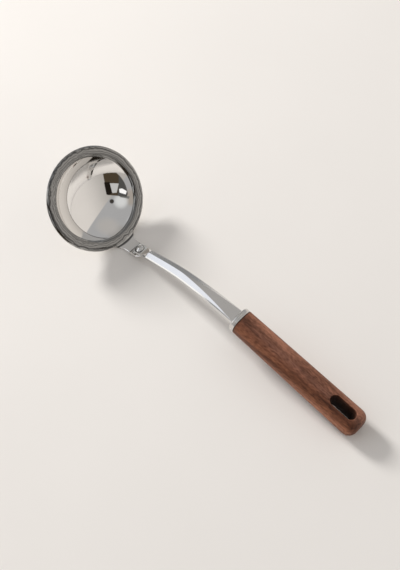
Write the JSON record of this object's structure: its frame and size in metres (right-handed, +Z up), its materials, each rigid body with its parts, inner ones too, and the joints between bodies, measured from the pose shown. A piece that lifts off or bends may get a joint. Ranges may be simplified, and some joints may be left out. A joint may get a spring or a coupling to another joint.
{
  "type": "soup ladle",
  "caption": "Polished steel soup ladle with a wooden handle and a hanging slot, lying as on a table; it scoops and pours liquid food.",
  "frame": {"origin": "middle of the footprint's bounding box, on the surface that the ladle lies on", "axes": "+Z up from that surface, +X along the ladle from the bowl to the end of the handle, the XZ plane is the plane of symmetry"},
  "size_m": [0.3168, 0.088, 0.0627],
  "materials": {
    "mirror_steel": "mirror-polished stainless steel",
    "polished_steel": "finely polished stainless steel",
    "brushed_steel": "satin stainless steel",
    "walnut": "oiled dark wood with a fine straight grain",
    "epoxy": "cured adhesive"
  },
  "bodies": {
    "root": {"bowl": "mirror_steel", "shank": "polished_steel", "neck_rivet": "mirror_steel", "ferrule": "brushed_steel", "handle": "walnut", "tang_bond": "epoxy"}
  },
  "joints": []
}
